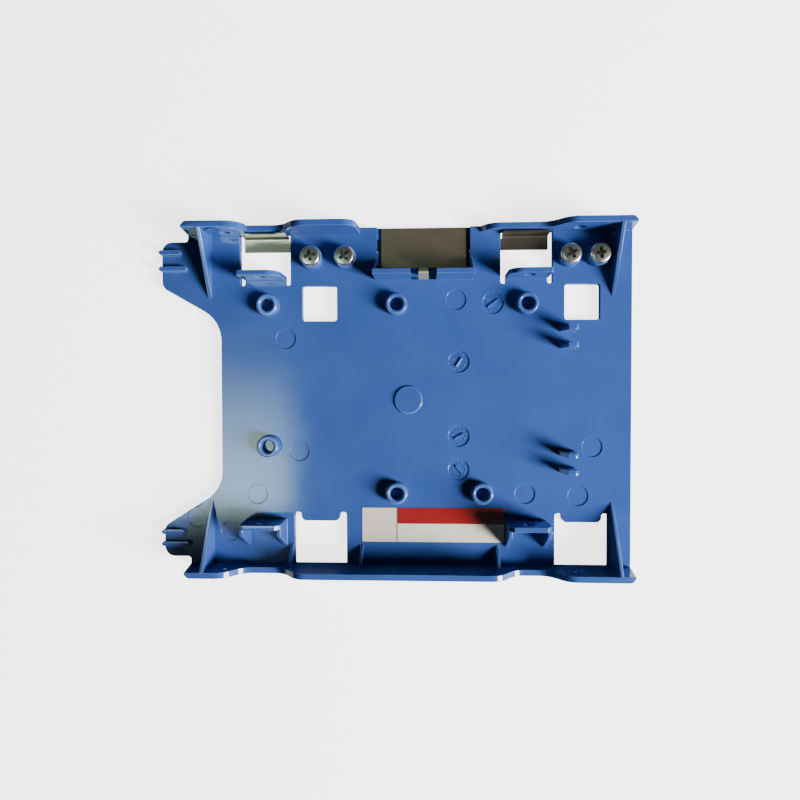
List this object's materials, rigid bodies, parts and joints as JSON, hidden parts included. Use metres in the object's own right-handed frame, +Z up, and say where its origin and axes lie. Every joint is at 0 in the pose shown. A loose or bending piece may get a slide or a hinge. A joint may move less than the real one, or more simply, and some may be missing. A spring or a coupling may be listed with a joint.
{
  "type": "hard drive caddy",
  "caption": "Blue moulded plastic tray that carries a small hard drive in a larger drive bay, with a metal grounding strip, parked spare screws and a plain sticker.",
  "frame": {"origin": "Centre of the bounding box in X and Y, on the underside of the floor in Z.", "axes": "+X runs along the length from the two ears to the plain front edge, +Y points to the side with the grounding strip, +Z is up out of the open tray."},
  "size_m": [0.1384, 0.1012, 0.012],
  "materials": {
    "blue_plastic": "smooth glossy moulding with fine scuffs",
    "bright_sheet": "thin bright rolled sheet",
    "plated_screw": "plated screw steel",
    "printed_film": "satin printed film with plain colour fields"
  },
  "bodies": {
    "root": {"tray": "blue_plastic", "ground_strip": "bright_sheet", "spare_screws": "plated_screw", "label": "printed_film"}
  },
  "joints": []
}
